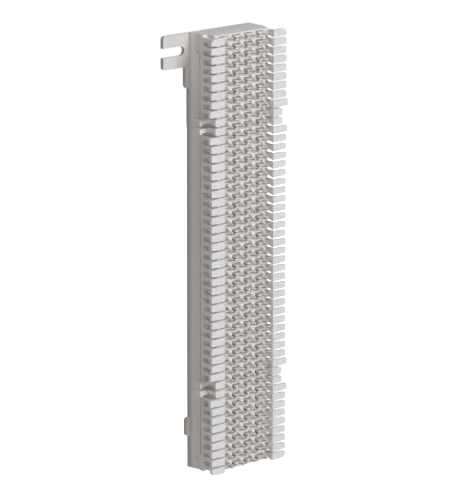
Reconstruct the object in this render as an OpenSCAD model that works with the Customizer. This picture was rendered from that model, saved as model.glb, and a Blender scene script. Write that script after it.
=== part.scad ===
// Punch down wiring block, 66 type, with four columns of split quick clips.
// X is the width, Y the depth and Z the height. The wall is the plane Y = 0
// and the clips face -Y. The origin is the centre of the mounting face.
// Depths below are measured from the wall, so a depth of 10 lies at Y = -10.

/* [Rows] */
// Height of one row of clips, and of one tooth of a fanning strip
pitch = 5.08; // [4.8:0.01:6.5]
// Rows in each of the ten banks
bank_rows = 5; // [4:1:6]
// Banks between an end of the block and its nearer pair of cover hinge pegs
peg_banks = 2; // [1:1:4]

/* [Base] */
// Width of the base, and of the moulding that it carries
body_w = 48.4; // [46:0.1:56]
// Depth of the base, from the wall to the front face of its floor
base_d = 11; // [10:0.1:12]
// Thickness of the base's outer walls
wall = 2; // [1.6:0.1:3]
// Thickness of the ribs behind the floor
rib = 2; // [1.2:0.1:3]
// Thickness of the floor that carries the contacts
floor_t = 2; // [1.5:0.1:3]
// Depth at which the upright rear band of each side ends
band_rear = 4.4; // [3:0.1:5.5]
// Depth at which the sloped middle band of each side ends
band_mid = 7.3; // [6:0.1:9]
// How far the side steps in over its sloped band
band_step = 0.7; // [0.1:0.05:1]

/* [Parting line] */
// Width of the groove along the parting line
groove_w = 1.4; // [0.4:0.1:1.8]
// Depth of the groove into the sides
groove_cut = 2.4; // [0.8:0.1:3]
// Distance from each end of the block to the groove's end
groove_end = 9.5; // [5:0.5:20]
// Run of the groove's hooked end back towards the wall
groove_hook = 3.2; // [1.5:0.1:5]
// Height of the groove's hooked end
hook_h = 1.1; // [0.6:0.1:1.6]
// Depth of the groove's hooked end into the sides
hook_cut = 1.5; // [1:0.1:1.7]
// Depth of the slanted latch notch near the other end of each side, into the side
latch_cut = 1.5; // [0.8:0.1:1.7]
// Width of that notch
latch_w = 1.1; // [0.6:0.1:1.4]
// Length of that notch along the side
latch_h = 2.8; // [2:0.1:6]
// Distance from the end of the block to the middle of that notch
latch_inset = 6.2; // [4:0.1:12]
// Length of the groove along the parting line in each end face
end_groove = 22; // [10:0.5:22]
// Width of that groove
end_groove_w = 0.7; // [0.4:0.1:1.4]
// Depth of that groove
end_cut = 1.3; // [0.5:0.1:1.5]
// Diameter of the round gate mark in each end face
gate = 2.6; // [1.6:0.1:4]

/* [Mounting ears] */
// Width across the tips of the two ears
ear_span = 87.5; // [80:0.5:100]
// Height of an ear
ear_h = 19.3; // [16:0.1:26]
// Thickness of an ear
ear_t = 2.3; // [1.6:0.1:4]
// Width of the fork slot in an ear
ear_slot_w = 5.5; // [4.2:0.1:8]
// Web between the side of the base and the closed end of the fork slot
ear_web = 3.5; // [2:0.1:6]
// Radius of the corners of the ears
ear_corner = 2; // [0.5:0.1:3]
// Width of the flange that runs on from an ear along the side
flange_w = 2.7; // [1.5:0.1:5]
// Length of that flange past the ear
flange_h = 12.6; // [6:0.1:20]
// Height of the small tab near the other end of each side
tab_h = 10.8; // [6:0.1:16]
// Distance from the end of the block to the middle of the tab
tab_inset = 24.4; // [15:0.1:40]

/* [Front moulding] */
// Width between the inner walls of the two fanning strips
trough_w = 38; // [36.5:0.5:40]
// Depth from the wall to the front of the clip bed
bed_d = 20.3; // [18:0.1:21.5]
// Depth from the wall to the front faces of the teeth
front_d = 26.2; // [25:0.1:32]

/* [Fanning strips] */
// Thickness of the cap on each tooth
cap_t = 1.8; // [1.2:0.1:2.6]
// Reach of the caps past the side of the body
cap_reach = 5; // [3.5:0.1:8]
// Slit between two caps at the trough
slit_in = 0.8; // [0.5:0.05:1.2]
// Slit between two caps at their outer ends
slit_out = 1.3; // [0.9:0.05:1.8]
// Radius of a cap's outer corners
cap_corner = 0.7; // [0.3:0.05:1]
// Radius of the outermost corner of each strip's first and last cap
end_corner = 2.4; // [1:0.1:2.6]
// Height of a wire slot behind its taper
slot_h = 2.9; // [1.8:0.1:3.2]
// Depth at which the wire slots start to taper towards the caps
slot_taper = 21; // [19:0.1:22]
// Thickness of the strip's wall along the trough
lip = 2; // [0.8:0.1:2.6]
// Depth of the slots' round roots in that wall
root_in = 19.4; // [18:0.1:21]
// Depth of the slots' round roots in the rest of the strip
root_out = 13.5; // [12.8:0.1:18]
// How much shorter the caps over the hinge pegs are
cap_short = 3; // [1:0.1:4]
// How much longer the caps on each side of those are
cap_long = 1.1; // [0:0.1:2]

/* [Cover hinge pegs] */
// Reach of a peg past the side of the body
peg_reach = 6.9; // [3.4:0.1:8]
// Height of a peg
peg_h = 2.4; // [1.6:0.1:3]
// Depth of a peg's rear face
peg_rear = 13.9; // [12.8:0.1:15]
// Depth of a peg's front face
peg_front = 18.5; // [16:0.1:19.5]
// Width of the lip at a peg's tip
peg_lip = 1.8; // [1:0.1:2.5]
// How far the lip drops below the peg
peg_drop = 0.8; // [0.3:0.1:1.2]

/* [Contacts] */
// Distance between two columns of clips
col_pitch = 9.1; // [8.6:0.1:9.8]
// Width of a clip
clip_w = 5.6; // [4.5:0.1:6.4]
// Height of a clip over both beams
clip_h = 2.6; // [2.4:0.1:3.2]
// Thickness of the stamped metal
stock = 0.85; // [0.5:0.05:0.9]
// Wire gap where the two beams come closest
pinch = 0.3; // [0.1:0.05:0.6]
// Depth at which the beams come closest
pinch_d = 22.6; // [22:0.1:23.2]
// Depth of the longer prong of each beam, on its right
tip_d = 25; // [24.4:0.1:26]
// How much shorter the left prong is
tip_short = 1.7; // [0.5:0.1:2]
// Radius of the outer corners of the prongs
tip_corner = 1; // [0.5:0.1:1.4]
// Width of the notch between the two prongs, at the shorter one
notch_w = 1.6; // [0.6:0.1:2]
// Depth of the notch below the tip of the shorter prong
notch_cut = 1.4; // [0.6:0.1:2]
// Clearance round the strap of a contact in its cell
fit = 0.15; // [0.05:0.05:0.25]
// Clearance round a clip in its opening in the bed
clip_gap = 0.4; // [0.1:0.05:0.6]

/* [Hidden] */

banks = 10;
rows = banks * bank_rows;
height = rows * pitch;
side_x = body_w / 2;
wall_x = trough_w / 2;
cap_back = front_d - cap_t;
peg_row = peg_banks * bank_rows;

cell_w = (body_w - 2 * wall - rib) / 2;
cell_h = (height - 2 * wall - (banks - 1) * rib) / banks;

strap_w = col_pitch + clip_w;
strap_d = base_d + stock;
bend_d = bed_d + 0.3;

over = 1;
plastic = [0.87, 0.86, 0.84];
base_plastic = [0.80, 0.79, 0.77];
tin = [0.74, 0.74, 0.73];

function row_z(n) = height / 2 - pitch * (n + 0.5);
function slot_z(n) = height / 2 - pitch * n;
function from_end(n) = min(n, rows - 1 - n);
function over_peg(n) = from_end(n) == peg_row - 1 || from_end(n) == peg_row;
function beside_peg(n) = from_end(n) == peg_row - 2 || from_end(n) == peg_row + 1;
function cap_x(n) = side_x + cap_reach + (over_peg(n) ? -cap_short : 0) + (beside_peg(n) ? cap_long : 0);
function arc(x, y, r, from, to) = [
    for (i = [0:4]) let (a = from + (to - from) * i / 4) [x + r * cos(a), y + r * sin(a)]
];

// Draws an outline in X and Z, extruded from one depth to a greater one
module slab(near, far) {
    translate([0, -near, 0])
        rotate([90, 0, 0])
            linear_extrude(far - near)
                children();
}

// Draws an outline in Y and Z, extruded from one X to a greater one
module bar(from, to) {
    translate([from, 0, 0])
        rotate([90, 0, 90])
            linear_extrude(to - from)
                children();
}

module both_sides() {
    children();
    mirror([1, 0, 0])
        children();
}

// The same thing on the left side and, turned end for end, on the right side
module both_ends() {
    children();
    rotate([0, 180, 0])
        children();
}

module box2(x0, x1, y0, y1) {
    translate([x0, y0])
        square([x1 - x0, y1 - y0]);
}

// ---- Base ----

module base_section() {
    x = side_x - band_step;
    polygon([
        [-side_x, 0], [side_x, 0], [side_x, -band_rear], [x, -band_mid], [x, -base_d],
        [-x, -base_d], [-x, -band_mid], [-side_x, -band_rear]
    ]);
}

// Ear on the left side at the upper end, with the flange below it
module ear() {
    tip = ear_span / 2;
    top = height / 2;
    low = top - ear_h;
    slab(0, ear_t)
        difference() {
            union() {
                box2(-tip, -side_x + over, low + ear_corner, top - ear_corner);
                box2(-tip + ear_corner, -side_x + over, low, top);
                translate([-tip + ear_corner, top - ear_corner])
                    circle(r = ear_corner, $fn = 32);
                translate([-tip + ear_corner, low + ear_corner])
                    circle(r = ear_corner, $fn = 32);
            }
            ear_slot();
        }
    slab(0, ear_t)
        polygon(concat(
            [[-side_x + over, low + over], [-side_x - flange_w, low + over]],
            arc(-side_x, low - flange_h + flange_w, flange_w, 180, 270),
            [[-side_x + over, low - flange_h]]
        ));
}

// Fork slot, open at the tip of the ear
module ear_slot() {
    z = height / 2 - ear_h / 2;
    x = -side_x - ear_web - ear_slot_w / 2;
    box2(-ear_span / 2 - over, x, z - ear_slot_w / 2, z + ear_slot_w / 2);
    translate([x, z])
        circle(d = ear_slot_w, $fn = 48);
}

// Small tab on the left side near the lower end
module tab() {
    z = -height / 2 + tab_inset;
    x = side_x + flange_w;
    slab(0, ear_t)
        polygon([
            [-side_x + over, z + tab_h / 2], [-x + 1, z + tab_h / 2], [-x, z + tab_h / 2 - 1],
            [-x, z - tab_h / 2 + 1], [-x + 1, z - tab_h / 2], [-side_x + over, z - tab_h / 2]
        ]);
}

// Shadow groove along the parting line of the left side, hooked at its upper end
module parting_groove() {
    x0 = -side_x - over;
    x1 = -side_x + groove_cut;
    top = height / 2 - groove_end;
    slab(base_d - groove_w / 2, base_d + groove_w / 2)
        box2(x0, x1, -top, top);
    slab(base_d - groove_hook, base_d + groove_w / 2)
        box2(x0, -side_x + hook_cut, top - hook_h, top);
}

// Slanted notch near the lower end of the left side, where the two mouldings latch
module latch_notch() {
    near = band_mid - 1.2;
    z = -height / 2 + latch_inset;
    bar(-side_x - over, -side_x + latch_cut)
        polygon([
            [-near, z + latch_h / 2], [-near - latch_w, z + latch_h / 2],
            [-near - latch_w - 1.4, z - latch_h / 2], [-near - 1.4, z - latch_h / 2]
        ]);
}

// Groove along the parting line in the upper end face, and the gate mark
module end_marks() {
    top = height / 2;
    slab(base_d - end_groove_w, base_d + over)
        box2(0, end_groove, top - end_cut, top + over);
    translate([-2 * gate, -base_d / 2, top - end_cut / 2])
        cylinder(d = gate, h = over + end_cut, $fn = 32);
}

module rear_base() {
    color(base_plastic)
        difference() {
            union() {
                linear_extrude(height, center = true)
                    base_section();
                both_ends() {
                    ear();
                    tab();
                }
            }
            slab(-over, base_d - floor_t)
                back_cells();
            both_ends() {
                parting_groove();
                latch_notch();
                end_marks();
            }
        }
}

module back_cells() {
    for (n = [0:banks - 1], x = [rib / 2, -rib / 2 - cell_w])
        translate([x, -height / 2 + wall + n * (cell_h + rib)])
            square([cell_w, cell_h]);
}

// ---- Front moulding ----

module front_moulding() {
    color(plastic) {
        difference() {
            union() {
                slab(base_d, strap_d + fit)
                    difference() {
                        box2(-side_x, side_x, -height / 2, height / 2);
                        strap_cells();
                    }
                slab(strap_d + fit, bed_d)
                    difference() {
                        box2(-side_x, side_x, -height / 2, height / 2);
                        clip_cells();
                    }
                both_sides()
                    slab(bed_d - over, cap_back)
                        box2(wall_x, side_x, -height / 2, height / 2);
            }
            both_sides()
                wire_slots();
            both_ends()
                parting_groove();
        }
        both_sides() {
            slab(cap_back, front_d)
                for (n = [0:rows - 1])
                    cap_outline(n);
            hinge_pegs();
        }
    }
}

// Openings for the straps in the rear face, one a row on each side
module strap_cells() {
    for (n = [0:rows - 1], side = [-1, 1])
        translate([side * col_pitch, row_z(n)])
            square([strap_w + 2 * fit, clip_h + 2 * fit], center = true);
}

// Openings for the clips in the bed, one for each clip
module clip_cells() {
    for (n = [0:rows - 1], c = [-1.5, -0.5, 0.5, 1.5])
        translate([c * col_pitch, row_z(n)])
            square([clip_w + 2 * clip_gap, clip_h + 2 * clip_gap], center = true);
}

// Wire slots of the right strip, half a slot at each end of the block
module wire_slots() {
    bar(wall_x + lip, side_x + over)
        for (n = [0:rows])
            translate([0, slot_z(n)])
                slot_outline(root_out);
    bar(wall_x - over, wall_x + lip + over)
        for (n = [0:rows])
            translate([0, slot_z(n)])
                slot_outline(root_in);
}

// Outline of a slot with a round root, tapered from its full height to the slit between the caps
module slot_outline(root) {
    far = cap_back + over;
    middle = root + slot_h / 2;
    translate([-middle, 0])
        circle(d = slot_h, $fn = 32);
    intersection() {
        box2(-far, -middle, -slot_h, slot_h);
        polygon([
            [0, -slot_h / 2], [-slot_taper, -slot_h / 2], [-far, -slit_out / 2],
            [-far, slit_out / 2], [-slot_taper, slot_h / 2], [0, slot_h / 2]
        ]);
    }
}

module cap_outline(n) {
    x = cap_x(n);
    inner = (pitch - slit_in) / 2;
    outer = (pitch - slit_out) / 2;
    r_top = n == 0 ? end_corner : cap_corner;
    r_low = n == rows - 1 ? end_corner : cap_corner;
    translate([0, row_z(n)])
        polygon(concat(
            [[wall_x, inner], [wall_x, -inner]],
            arc(x - r_low, -outer + r_low, r_low, 270, 360),
            arc(x - r_top, outer - r_top, r_top, 0, 90)
        ));
}

// Two pairs of pegs on the right side, each with a lip below its tip
module hinge_pegs() {
    for (n = [0:rows - 1])
        if (over_peg(n))
            slab(peg_rear, peg_front)
                translate([0, row_z(n)])
                    peg_outline();
}

module peg_outline() {
    tip = side_x + peg_reach;
    box2(side_x - over, tip, -peg_h / 2, peg_h / 2);
    box2(tip - peg_lip, tip, -peg_h / 2 - peg_drop, 0);
}

// ---- Contacts ----

// Section of a contact in Y and Z: a strap on the floor and two beams
module contact_section() {
    h = clip_h / 2;
    g = pinch / 2;
    difference() {
        polygon([
            [-base_d, h], [-bend_d, h], [-pinch_d, g + stock], [-tip_d, h],
            [-tip_d, -h], [-pinch_d, -g - stock], [-bend_d, -h], [-base_d, -h]
        ]);
        polygon([
            [-strap_d, h - stock], [-bend_d, h - stock], [-pinch_d, g], [-tip_d, h - stock],
            [-tip_d - over, h - stock], [-tip_d - over, stock - h],
            [-tip_d, stock - h], [-pinch_d, -g], [-bend_d, stock - h], [-strap_d, stock - h]
        ]);
    }
}

// Outline of a contact in X and Y, centred between its two clips
module contact_plan() {
    box2(-strap_w / 2, strap_w / 2, -strap_d, -base_d);
    for (c = [-0.5, 0.5])
        translate([c * col_pitch, 0])
            clip_plan();
}

// One clip in X and Y, with a longer prong on its right and a notch between the prongs
module clip_plan() {
    w = clip_w / 2;
    r = tip_corner;
    near = tip_d - tip_short;
    polygon(concat(
        [[-w, -base_d], [w, -base_d]],
        arc(w - r, -tip_d + r, r, 0, -90),
        [[notch_w, -tip_d], [notch_w / 2, -near], [0, -near + notch_cut], [-notch_w / 2, -near]],
        arc(-w + r, -near + r, r, -90, -180)
    ));
}

module contact() {
    intersection() {
        bar(-strap_w / 2, strap_w / 2)
            contact_section();
        linear_extrude(clip_h + over, center = true)
            contact_plan();
    }
}

// The contacts of one bank on one side, counted from the top
module contact_bank(side, bank) {
    color(tin)
        for (n = [0:bank_rows - 1])
            translate([side * col_pitch, 0, row_z((bank - 1) * bank_rows + n)])
                contact();
}

module left_contacts_01() contact_bank(-1, 1);
module left_contacts_02() contact_bank(-1, 2);
module left_contacts_03() contact_bank(-1, 3);
module left_contacts_04() contact_bank(-1, 4);
module left_contacts_05() contact_bank(-1, 5);
module left_contacts_06() contact_bank(-1, 6);
module left_contacts_07() contact_bank(-1, 7);
module left_contacts_08() contact_bank(-1, 8);
module left_contacts_09() contact_bank(-1, 9);
module left_contacts_10() contact_bank(-1, 10);
module right_contacts_01() contact_bank(1, 1);
module right_contacts_02() contact_bank(1, 2);
module right_contacts_03() contact_bank(1, 3);
module right_contacts_04() contact_bank(1, 4);
module right_contacts_05() contact_bank(1, 5);
module right_contacts_06() contact_bank(1, 6);
module right_contacts_07() contact_bank(1, 7);
module right_contacts_08() contact_bank(1, 8);
module right_contacts_09() contact_bank(1, 9);
module right_contacts_10() contact_bank(1, 10);

rear_base();
front_moulding();
left_contacts_01();
left_contacts_02();
left_contacts_03();
left_contacts_04();
left_contacts_05();
left_contacts_06();
left_contacts_07();
left_contacts_08();
left_contacts_09();
left_contacts_10();
right_contacts_01();
right_contacts_02();
right_contacts_03();
right_contacts_04();
right_contacts_05();
right_contacts_06();
right_contacts_07();
right_contacts_08();
right_contacts_09();
right_contacts_10();
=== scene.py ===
"""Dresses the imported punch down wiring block: its materials, the floor, the light and the camera.

The CAD solids are shown as they are. Lengths are in metres, in the row frame: X is the width, -Y
the way the clips face, and Z is up.
"""

from math import cos, radians, sin

import bpy
from mathutils import Matrix, Vector

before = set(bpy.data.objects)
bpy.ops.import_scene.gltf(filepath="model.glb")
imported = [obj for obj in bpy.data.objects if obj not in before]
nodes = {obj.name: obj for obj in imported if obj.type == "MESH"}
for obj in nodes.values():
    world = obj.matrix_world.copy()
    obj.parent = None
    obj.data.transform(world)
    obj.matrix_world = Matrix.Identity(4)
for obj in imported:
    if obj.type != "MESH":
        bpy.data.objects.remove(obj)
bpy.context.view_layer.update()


# ---- Materials -----------------------------------------------------------------

# The Mix node's sockets for colours, which share their names with those for plain values
MIX_A, MIX_B, MIX_RESULT = 6, 7, 2

# A noise keeps mostly to this middle range
NOISE_LOW, NOISE_HIGH = 0.3, 0.7

# Light and dark tones
FRONT_PLASTIC = (0.84, 0.832, 0.825), (0.80, 0.79, 0.78)
BASE_PLASTIC = (0.80, 0.79, 0.78), (0.75, 0.738, 0.725)
TIN = (0.665, 0.655, 0.635), (0.56, 0.545, 0.525)

# Painted shade: the base's sides get darker from this depth to the wall, down to this share of
# their tone
PAINTED_SHADE_REACH, PAINTED_SHADE_LEAST = 0.0048, 0.5

# A face counts as sideways, and so gets the painted shade, from the first of these parts of its
# normal along X, fully at the second
PAINTED_SHADE_SIDEWAYS_FROM, PAINTED_SHADE_SIDEWAYS_FULLY = 0.5, 0.8


def new_material(name):
    """A material with nodes, its tree, its Principled shader and object coordinates in metres."""
    mat = bpy.data.materials.new(name)
    mat.use_nodes = True
    tree = mat.node_tree
    shader = tree.nodes["Principled BSDF"]
    coord = tree.nodes.new("ShaderNodeTexCoord").outputs["Object"]
    return mat, tree, shader, coord


def maths(tree, operation, first, second=None):
    """A Math node's result. Each operand is a socket or a plain value."""
    node = tree.nodes.new("ShaderNodeMath")
    node.operation = operation
    for operand, socket in zip((first, second), node.inputs):
        if isinstance(operand, bpy.types.NodeSocket):
            tree.links.new(operand, socket)
        elif operand is not None:
            socket.default_value = operand
    return node.outputs[0]


def along(tree, vector, axis):
    """One part of a vector."""
    node = tree.nodes.new("ShaderNodeSeparateXYZ")
    tree.links.new(vector, node.inputs[0])
    return node.outputs[axis]


def remap(tree, value, low, high, to_low=0.0, to_high=1.0):
    """Maps low to high onto to_low to to_high, clamped."""
    node = tree.nodes.new("ShaderNodeMapRange")
    node.inputs["From Min"].default_value = low
    node.inputs["From Max"].default_value = high
    node.inputs["To Min"].default_value = to_low
    node.inputs["To Max"].default_value = to_high
    tree.links.new(value, node.inputs["Value"])
    return node.outputs["Result"]


def noise(tree, coord, scale, detail, roughness, stretch=(1, 1, 1)):
    mapping = tree.nodes.new("ShaderNodeMapping")
    mapping.inputs["Scale"].default_value = stretch
    tree.links.new(coord, mapping.inputs["Vector"])
    tex = tree.nodes.new("ShaderNodeTexNoise")
    tex.inputs["Scale"].default_value = scale
    tex.inputs["Detail"].default_value = detail
    tex.inputs["Roughness"].default_value = roughness
    tree.links.new(mapping.outputs["Vector"], tex.inputs["Vector"])
    return tex.outputs["Fac"]


def two_tones(tree, value, low, high, tones):
    """The dark tone up to low, the light tone from high, and a blend between them."""
    light, dark = tones
    node = tree.nodes.new("ShaderNodeValToRGB")
    for element, position, colour in zip(node.color_ramp.elements, (low, high), (dark, light)):
        element.position = position
        element.color = (*colour, 1)
    tree.links.new(value, node.inputs["Fac"])
    return node.outputs["Color"]


def bump(tree, shader, height, strength, distance):
    node = tree.nodes.new("ShaderNodeBump")
    node.inputs["Strength"].default_value = strength
    node.inputs["Distance"].default_value = distance
    tree.links.new(height, node.inputs["Height"])
    tree.links.new(node.outputs["Normal"], shader.inputs["Normal"])


def paint_side_shade(tree, coord, colour, reach, least):
    """Paints shade on the faces that look sideways, darker from a depth of reach metres towards the
    wall.
    """
    shade = remap(tree, along(tree, coord, "Y"), -reach, 0, 1, least)
    normal = tree.nodes.new("ShaderNodeTexCoord").outputs["Normal"]
    sideways = maths(tree, "ABSOLUTE", along(tree, normal, "X"))
    mix = tree.nodes.new("ShaderNodeMix")
    mix.data_type = "RGBA"
    mix.blend_type = "MULTIPLY"
    tree.links.new(remap(tree, sideways, PAINTED_SHADE_SIDEWAYS_FROM, PAINTED_SHADE_SIDEWAYS_FULLY), mix.inputs["Factor"])
    tree.links.new(colour, mix.inputs[MIX_A])
    tree.links.new(shade, mix.inputs[MIX_B])
    return mix.outputs[MIX_RESULT]


def moulded_plastic(name, tones, roughness, painted_shade_reach=0.0, painted_shade_least=1.0):
    """Fine matte moulded plastic: faint flow marks along the height, and a fine grain, with painted
    shade on the sideways faces towards the wall when a reach is given.
    """
    mat, tree, shader, coord = new_material(name)
    flow = noise(tree, coord, scale=38, detail=4, roughness=0.6, stretch=(1, 1, 0.35))
    colour = two_tones(tree, flow, 0.32, 0.68, tones)
    # Painted shade: the sideways faces darken towards the wall
    if painted_shade_reach > 0:
        colour = paint_side_shade(tree, coord, colour, painted_shade_reach, painted_shade_least)
    tree.links.new(colour, shader.inputs["Base Color"])
    patch = noise(tree, coord, scale=130, detail=3, roughness=0.5)
    gloss = remap(tree, patch, NOISE_LOW, NOISE_HIGH, roughness - 0.05, roughness + 0.06)
    tree.links.new(gloss, shader.inputs["Roughness"])
    grain = noise(tree, coord, scale=1500, detail=2, roughness=0.5)
    bump(tree, shader, grain, strength=0.12, distance=0.00006)
    shader.inputs["IOR"].default_value = 1.49
    shader.inputs["Specular IOR Level"].default_value = 0.4
    return mat


def tinned_metal(name, tones):
    """Dull tin plating, with faint drawing lines along the beams."""
    mat, tree, shader, coord = new_material(name)
    cloud = noise(tree, coord, scale=240, detail=3, roughness=0.6)
    colour = two_tones(tree, cloud, NOISE_LOW, NOISE_HIGH, tones)
    tree.links.new(colour, shader.inputs["Base Color"])
    lines = noise(tree, coord, scale=900, detail=2, roughness=0.5, stretch=(1, 0.08, 1))
    gloss = remap(tree, lines, NOISE_LOW, NOISE_HIGH, 0.72, 0.84)
    tree.links.new(gloss, shader.inputs["Roughness"])
    bump(tree, shader, lines, strength=0.1, distance=0.00004)
    shader.inputs["Metallic"].default_value = 1.0
    return mat


mouldings = {
    "front_moulding": moulded_plastic("front_plastic", FRONT_PLASTIC, 0.5),
    # The base's sides carry painted shade towards the wall
    "rear_base": moulded_plastic(
        "base_plastic", BASE_PLASTIC, 0.52, PAINTED_SHADE_REACH, PAINTED_SHADE_LEAST
    ),
}
contact_mat = tinned_metal("tinned_contact", TIN)

for name, obj in nodes.items():
    obj.data.materials.clear()
    obj.data.materials.append(mouldings.get(name, contact_mat))


# ---- Floor, light and camera ---------------------------------------------------

FLOOR_LEVEL = -0.42
FLOOR_HALF = 4.0
FLOOR_TONE = (0.8, 0.8, 0.8, 1)
FLOOR_GLOW = 0.85

ROOM_TONE = (1.0, 0.96, 0.94, 1)
ROOM_STRENGTH = 0.1
WHITE = (1, 1, 1, 1)

# Name, place, size, watts and colour
LIGHTS = (
    ("key", (0.19, -2.15, 1.26), 1.1, 34.5, (0.985, 0.99, 1.0)),
    ("side", (-1.21, -0.32, 2.17), 0.6, 6.5, (1.0, 0.95, 0.93)),
    ("fill", (-1.74, -1.74, 0.43), 0.8, 7, (1.0, 0.96, 0.945)),
    ("back", (1.5, 2.0, -0.12), 0.5, 22, (1, 1, 1)),
)

# The camera stands in front, to the left and above. Its distance from the origin and its place
# across and up the picture, and its focal length in pixels of a picture 500 high
CAMERA_TURN, CAMERA_TILT = radians(-43.455), radians(13.135)
CAMERA_AWAY, CAMERA_ACROSS, CAMERA_UP = 2.0683, 0.006243, -0.00245
FOCAL_PIXELS, PICTURE_PIXELS, SENSOR_MM = 3600, 500, 36


def background_rays(tree):
    """1 for a ray that shows the background, seen directly or in or through something, else 0."""
    path = tree.nodes.new("ShaderNodeLightPath").outputs
    direct_or_glossy = maths(tree, "MAXIMUM", path["Is Camera Ray"], path["Is Glossy Ray"])
    return maths(tree, "MAXIMUM", direct_or_glossy, path["Is Transmission Ray"])


def mixed(tree, factor, shader, other, surface):
    """Shows shader where factor is 0 and other where it is 1."""
    mix = tree.nodes.new("ShaderNodeMixShader")
    tree.links.new(factor, mix.inputs[0])
    tree.links.new(shader, mix.inputs[1])
    tree.links.new(other, mix.inputs[2])
    tree.links.new(mix.outputs[0], surface)


def floor_material():
    """Pale and matte. A glow is added for the background's rays alone, so the shadow stays."""
    mat = bpy.data.materials.new("floor")
    mat.use_nodes = True
    tree = mat.node_tree
    shader = tree.nodes["Principled BSDF"]
    shader.inputs["Base Color"].default_value = FLOOR_TONE
    shader.inputs["Roughness"].default_value = 0.9
    glow = tree.nodes.new("ShaderNodeEmission")
    strength = maths(tree, "MULTIPLY", background_rays(tree), FLOOR_GLOW)
    tree.links.new(strength, glow.inputs["Strength"])
    both = tree.nodes.new("ShaderNodeAddShader")
    tree.links.new(shader.outputs[0], both.inputs[0])
    tree.links.new(glow.outputs[0], both.inputs[1])
    # From below the floor can be seen through
    below = tree.nodes.new("ShaderNodeNewGeometry").outputs["Backfacing"]
    clear = tree.nodes.new("ShaderNodeBsdfTransparent")
    surface = tree.nodes["Material Output"].inputs["Surface"]
    mixed(tree, below, both.outputs[0], clear.outputs[0], surface)
    return mat


def background(tree, colour, strength):
    node = tree.nodes.new("ShaderNodeBackground")
    node.inputs["Color"].default_value = colour
    node.inputs["Strength"].default_value = strength
    return node.outputs[0]


def shown(name, data):
    """A new object in the scene."""
    obj = bpy.data.objects.new(name, data)
    scene.collection.objects.link(obj)
    return obj


scene = bpy.context.scene

mesh = bpy.data.meshes.new("floor")
corners = [(-1, -1), (1, -1), (1, 1), (-1, 1)]
mesh.from_pydata(
    [(FLOOR_HALF * x, FLOOR_HALF * y, FLOOR_LEVEL) for x, y in corners], [], [(0, 1, 2, 3)]
)
mesh.materials.append(floor_material())
floor = shown("floor", mesh)

# White to the camera and in reflections, and a dim warm room to everything else
world = bpy.data.worlds.new("studio")
world.use_nodes = True
tree = world.node_tree
tree.nodes.clear()
surface = tree.nodes.new("ShaderNodeOutputWorld").inputs["Surface"]
room = background(tree, ROOM_TONE, ROOM_STRENGTH)
mixed(tree, background_rays(tree), room, background(tree, WHITE, 1.0), surface)
scene.world = world

for name, place, size, watts, colour in LIGHTS:
    light = bpy.data.lights.new(name, "AREA")
    light.shape = "DISK"
    light.size = size
    light.energy = watts
    light.color = colour
    lamp = shown(name, light)
    lamp.location = place
    lamp.rotation_euler = (-Vector(place)).to_track_quat("-Z", "Y").to_euler()

back = Vector(
    (
        sin(CAMERA_TURN) * cos(CAMERA_TILT),
        -cos(CAMERA_TURN) * cos(CAMERA_TILT),
        sin(CAMERA_TILT),
    )
)
right = Vector((cos(CAMERA_TURN), sin(CAMERA_TURN), 0))
up = back.cross(right)
place = CAMERA_AWAY * back + CAMERA_ACROSS * right + CAMERA_UP * up
facing = Matrix((right, up, back)).transposed().to_4x4()
lens = bpy.data.cameras.new("camera")
lens.sensor_width = SENSOR_MM
lens.lens = FOCAL_PIXELS * SENSOR_MM / PICTURE_PIXELS
lens.clip_start = 0.05
lens.clip_end = 20
camera = shown("camera", lens)
camera.matrix_world = Matrix.Translation(place) @ facing
scene.camera = camera

scene.view_settings.view_transform = "Standard"
scene.view_settings.look = "None"
